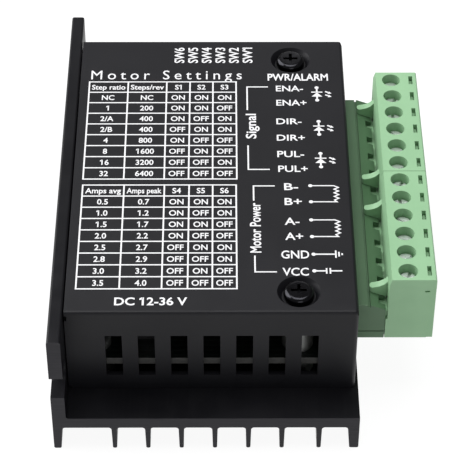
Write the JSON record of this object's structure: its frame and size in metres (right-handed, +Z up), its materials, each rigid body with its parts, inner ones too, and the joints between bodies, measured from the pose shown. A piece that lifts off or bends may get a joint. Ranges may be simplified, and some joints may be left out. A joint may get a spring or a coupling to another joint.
{
  "type": "stepper driver module",
  "caption": "Boxed stepper motor driver: a black folded cover on an L-shaped finned heatsink with end mounting slots, setting switches, and green pluggable screw terminals along one side.",
  "frame": {"origin": "middle of the overall footprint, on the plane of the fin tips", "axes": "+Z up from the fin tips to the cover, +Y along the fins to the end with the setting switches, +X towards the screw terminals; the mounting wall's outer face looks along -X"},
  "size_m": [0.072, 0.096, 0.0308],
  "materials": {
    "anodised_aluminium": "black anodised, satin, with machined ends",
    "painted_sheet": "black powder coat, fine satin texture, white printed legend",
    "black_screw": "black oxide, semi-gloss",
    "plated_steel": "zinc or nickel plate, satin",
    "board_laminate": "dark solder mask on glass laminate",
    "chip_plastic": "moulded epoxy",
    "pad_rubber": "soft silicone",
    "bare_aluminium": "satin",
    "black_plastic": "moulded",
    "ferrite": "sintered",
    "red_lens": "tinted clear epoxy",
    "green_lens": "tinted clear epoxy",
    "switch_plastic": "moulded",
    "white_plastic": "moulded",
    "tin_plate": "bright tin",
    "green_plastic": "moulded polyamide, satin"
  },
  "bodies": {
    "case": {"heatsink": "anodised_aluminium", "cover": "painted_sheet", "cover_screws": "black_screw", "cover_posts": "plated_steel", "circuit_board": "board_laminate", "board_spacers": "plated_steel", "board_screws": "plated_steel", "driver_chip": "chip_plastic", "thermal_pad": "pad_rubber", "heat_block": "bare_aluminium", "capacitor_feet": "black_plastic", "capacitor_cans": "bare_aluminium", "voltage_regulator": "chip_plastic", "power_inductor": "ferrite", "reverse_diode": "chip_plastic", "optocouplers": "chip_plastic", "logic_chip": "chip_plastic", "surface_chips": "ferrite", "alarm_led": "red_lens", "power_led": "green_lens", "switch_body": "switch_plastic", "switch_pins": "tin_plate", "pin_header": "green_plastic", "header_pins": "tin_plate"},
    "signal_plug": {"signal_plug_body": "green_plastic", "signal_plug_wire_plate": "green_plastic", "signal_plug_contacts": "tin_plate"},
    "power_plug": {"power_plug_body": "green_plastic", "power_plug_wire_plate": "green_plastic", "power_plug_contacts": "tin_plate"},
    "terminal_screw_01": {"terminal_screw_01": "plated_steel"},
    "clamp_cage_01": {"clamp_cage_01": "plated_steel"},
    "terminal_screw_02": {"terminal_screw_02": "plated_steel"},
    "clamp_cage_02": {"clamp_cage_02": "plated_steel"},
    "terminal_screw_03": {"terminal_screw_03": "plated_steel"},
    "clamp_cage_03": {"clamp_cage_03": "plated_steel"},
    "terminal_screw_04": {"terminal_screw_04": "plated_steel"},
    "clamp_cage_04": {"clamp_cage_04": "plated_steel"},
    "terminal_screw_05": {"terminal_screw_05": "plated_steel"},
    "clamp_cage_05": {"clamp_cage_05": "plated_steel"},
    "terminal_screw_06": {"terminal_screw_06": "plated_steel"},
    "clamp_cage_06": {"clamp_cage_06": "plated_steel"},
    "terminal_screw_07": {"terminal_screw_07": "plated_steel"},
    "clamp_cage_07": {"clamp_cage_07": "plated_steel"},
    "terminal_screw_08": {"terminal_screw_08": "plated_steel"},
    "clamp_cage_08": {"clamp_cage_08": "plated_steel"},
    "terminal_screw_09": {"terminal_screw_09": "plated_steel"},
    "clamp_cage_09": {"clamp_cage_09": "plated_steel"},
    "terminal_screw_10": {"terminal_screw_10": "plated_steel"},
    "clamp_cage_10": {"clamp_cage_10": "plated_steel"},
    "terminal_screw_11": {"terminal_screw_11": "plated_steel"},
    "clamp_cage_11": {"clamp_cage_11": "plated_steel"},
    "terminal_screw_12": {"terminal_screw_12": "plated_steel"},
    "clamp_cage_12": {"clamp_cage_12": "plated_steel"},
    "switch_slider_1": {"switch_slider_1": "white_plastic"},
    "switch_slider_2": {"switch_slider_2": "white_plastic"},
    "switch_slider_3": {"switch_slider_3": "white_plastic"},
    "switch_slider_4": {"switch_slider_4": "white_plastic"},
    "switch_slider_5": {"switch_slider_5": "white_plastic"},
    "switch_slider_6": {"switch_slider_6": "white_plastic"}
  },
  "joints": [
    {"name": "signal_plug_pull", "type": "slide", "parent": "case", "child": "signal_plug", "axis": [1, 0, 0], "range_m": [0, 0.009]},
    {"name": "power_plug_pull", "type": "slide", "parent": "case", "child": "power_plug", "axis": [1, 0, 0], "range_m": [0, 0.009]},
    {"name": "terminal_screw_01_turn", "type": "hinge", "parent": "signal_plug", "child": "terminal_screw_01", "pos_m": [0.03075, 0.0246, 0.0277], "axis": [0, 0, 1], "range_deg": [-1980, 0]},
    {"name": "clamp_cage_01_lift", "type": "slide", "parent": "signal_plug", "child": "clamp_cage_01", "axis": [0, 0, 1], "range_m": [0, 0.00275]},
    {"name": "terminal_screw_02_turn", "type": "hinge", "parent": "signal_plug", "child": "terminal_screw_02", "pos_m": [0.03075, 0.01952, 0.0277], "axis": [0, 0, 1], "range_deg": [-1980, 0]},
    {"name": "clamp_cage_02_lift", "type": "slide", "parent": "signal_plug", "child": "clamp_cage_02", "axis": [0, 0, 1], "range_m": [0, 0.00275]},
    {"name": "terminal_screw_03_turn", "type": "hinge", "parent": "signal_plug", "child": "terminal_screw_03", "pos_m": [0.03075, 0.01444, 0.0277], "axis": [0, 0, 1], "range_deg": [-1980, 0]},
    {"name": "clamp_cage_03_lift", "type": "slide", "parent": "signal_plug", "child": "clamp_cage_03", "axis": [0, 0, 1], "range_m": [0, 0.00275]},
    {"name": "terminal_screw_04_turn", "type": "hinge", "parent": "signal_plug", "child": "terminal_screw_04", "pos_m": [0.03075, 0.00936, 0.0277], "axis": [0, 0, 1], "range_deg": [-1980, 0]},
    {"name": "clamp_cage_04_lift", "type": "slide", "parent": "signal_plug", "child": "clamp_cage_04", "axis": [0, 0, 1], "range_m": [0, 0.00275]},
    {"name": "terminal_screw_05_turn", "type": "hinge", "parent": "signal_plug", "child": "terminal_screw_05", "pos_m": [0.03075, 0.00428, 0.0277], "axis": [0, 0, 1], "range_deg": [-1980, 0]},
    {"name": "clamp_cage_05_lift", "type": "slide", "parent": "signal_plug", "child": "clamp_cage_05", "axis": [0, 0, 1], "range_m": [0, 0.00275]},
    {"name": "terminal_screw_06_turn", "type": "hinge", "parent": "signal_plug", "child": "terminal_screw_06", "pos_m": [0.03075, -0.0008, 0.0277], "axis": [0, 0, 1], "range_deg": [-1980, 0]},
    {"name": "clamp_cage_06_lift", "type": "slide", "parent": "signal_plug", "child": "clamp_cage_06", "axis": [0, 0, 1], "range_m": [0, 0.00275]},
    {"name": "terminal_screw_07_turn", "type": "hinge", "parent": "power_plug", "child": "terminal_screw_07", "pos_m": [0.03075, -0.00588, 0.0277], "axis": [0, 0, 1], "range_deg": [-1980, 0]},
    {"name": "clamp_cage_07_lift", "type": "slide", "parent": "power_plug", "child": "clamp_cage_07", "axis": [0, 0, 1], "range_m": [0, 0.00275]},
    {"name": "terminal_screw_08_turn", "type": "hinge", "parent": "power_plug", "child": "terminal_screw_08", "pos_m": [0.03075, -0.01096, 0.0277], "axis": [0, 0, 1], "range_deg": [-1980, 0]},
    {"name": "clamp_cage_08_lift", "type": "slide", "parent": "power_plug", "child": "clamp_cage_08", "axis": [0, 0, 1], "range_m": [0, 0.00275]},
    {"name": "terminal_screw_09_turn", "type": "hinge", "parent": "power_plug", "child": "terminal_screw_09", "pos_m": [0.03075, -0.01604, 0.0277], "axis": [0, 0, 1], "range_deg": [-1980, 0]},
    {"name": "clamp_cage_09_lift", "type": "slide", "parent": "power_plug", "child": "clamp_cage_09", "axis": [0, 0, 1], "range_m": [0, 0.00275]},
    {"name": "terminal_screw_10_turn", "type": "hinge", "parent": "power_plug", "child": "terminal_screw_10", "pos_m": [0.03075, -0.02112, 0.0277], "axis": [0, 0, 1], "range_deg": [-1980, 0]},
    {"name": "clamp_cage_10_lift", "type": "slide", "parent": "power_plug", "child": "clamp_cage_10", "axis": [0, 0, 1], "range_m": [0, 0.00275]},
    {"name": "terminal_screw_11_turn", "type": "hinge", "parent": "power_plug", "child": "terminal_screw_11", "pos_m": [0.03075, -0.0262, 0.0277], "axis": [0, 0, 1], "range_deg": [-1980, 0]},
    {"name": "clamp_cage_11_lift", "type": "slide", "parent": "power_plug", "child": "clamp_cage_11", "axis": [0, 0, 1], "range_m": [0, 0.00275]},
    {"name": "terminal_screw_12_turn", "type": "hinge", "parent": "power_plug", "child": "terminal_screw_12", "pos_m": [0.03075, -0.03128, 0.0277], "axis": [0, 0, 1], "range_deg": [-1980, 0]},
    {"name": "clamp_cage_12_lift", "type": "slide", "parent": "power_plug", "child": "clamp_cage_12", "axis": [0, 0, 1], "range_m": [0, 0.00275]},
    {"name": "switch_slider_1_set", "type": "slide", "parent": "case", "child": "switch_slider_1", "axis": [0, 0, 1], "range_m": [0, 0.0018]},
    {"name": "switch_slider_2_set", "type": "slide", "parent": "case", "child": "switch_slider_2", "axis": [0, 0, 1], "range_m": [0, 0.0018]},
    {"name": "switch_slider_3_set", "type": "slide", "parent": "case", "child": "switch_slider_3", "axis": [0, 0, 1], "range_m": [0, 0.0018]},
    {"name": "switch_slider_4_set", "type": "slide", "parent": "case", "child": "switch_slider_4", "axis": [0, 0, 1], "range_m": [0, 0.0018]},
    {"name": "switch_slider_5_set", "type": "slide", "parent": "case", "child": "switch_slider_5", "axis": [0, 0, 1], "range_m": [0, 0.0018]},
    {"name": "switch_slider_6_set", "type": "slide", "parent": "case", "child": "switch_slider_6", "axis": [0, 0, 1], "range_m": [0, 0.0018]}
  ],
  "couplings": [
    {"joint": "terminal_screw_01_turn", "follows": "clamp_cage_01_lift", "rad_per_m": -12566},
    {"joint": "terminal_screw_02_turn", "follows": "clamp_cage_02_lift", "rad_per_m": -12566},
    {"joint": "terminal_screw_03_turn", "follows": "clamp_cage_03_lift", "rad_per_m": -12566},
    {"joint": "terminal_screw_04_turn", "follows": "clamp_cage_04_lift", "rad_per_m": -12566},
    {"joint": "terminal_screw_05_turn", "follows": "clamp_cage_05_lift", "rad_per_m": -12566},
    {"joint": "terminal_screw_06_turn", "follows": "clamp_cage_06_lift", "rad_per_m": -12566},
    {"joint": "terminal_screw_07_turn", "follows": "clamp_cage_07_lift", "rad_per_m": -12566},
    {"joint": "terminal_screw_08_turn", "follows": "clamp_cage_08_lift", "rad_per_m": -12566},
    {"joint": "terminal_screw_09_turn", "follows": "clamp_cage_09_lift", "rad_per_m": -12566},
    {"joint": "terminal_screw_10_turn", "follows": "clamp_cage_10_lift", "rad_per_m": -12566},
    {"joint": "terminal_screw_11_turn", "follows": "clamp_cage_11_lift", "rad_per_m": -12566},
    {"joint": "terminal_screw_12_turn", "follows": "clamp_cage_12_lift", "rad_per_m": -12566}
  ]
}
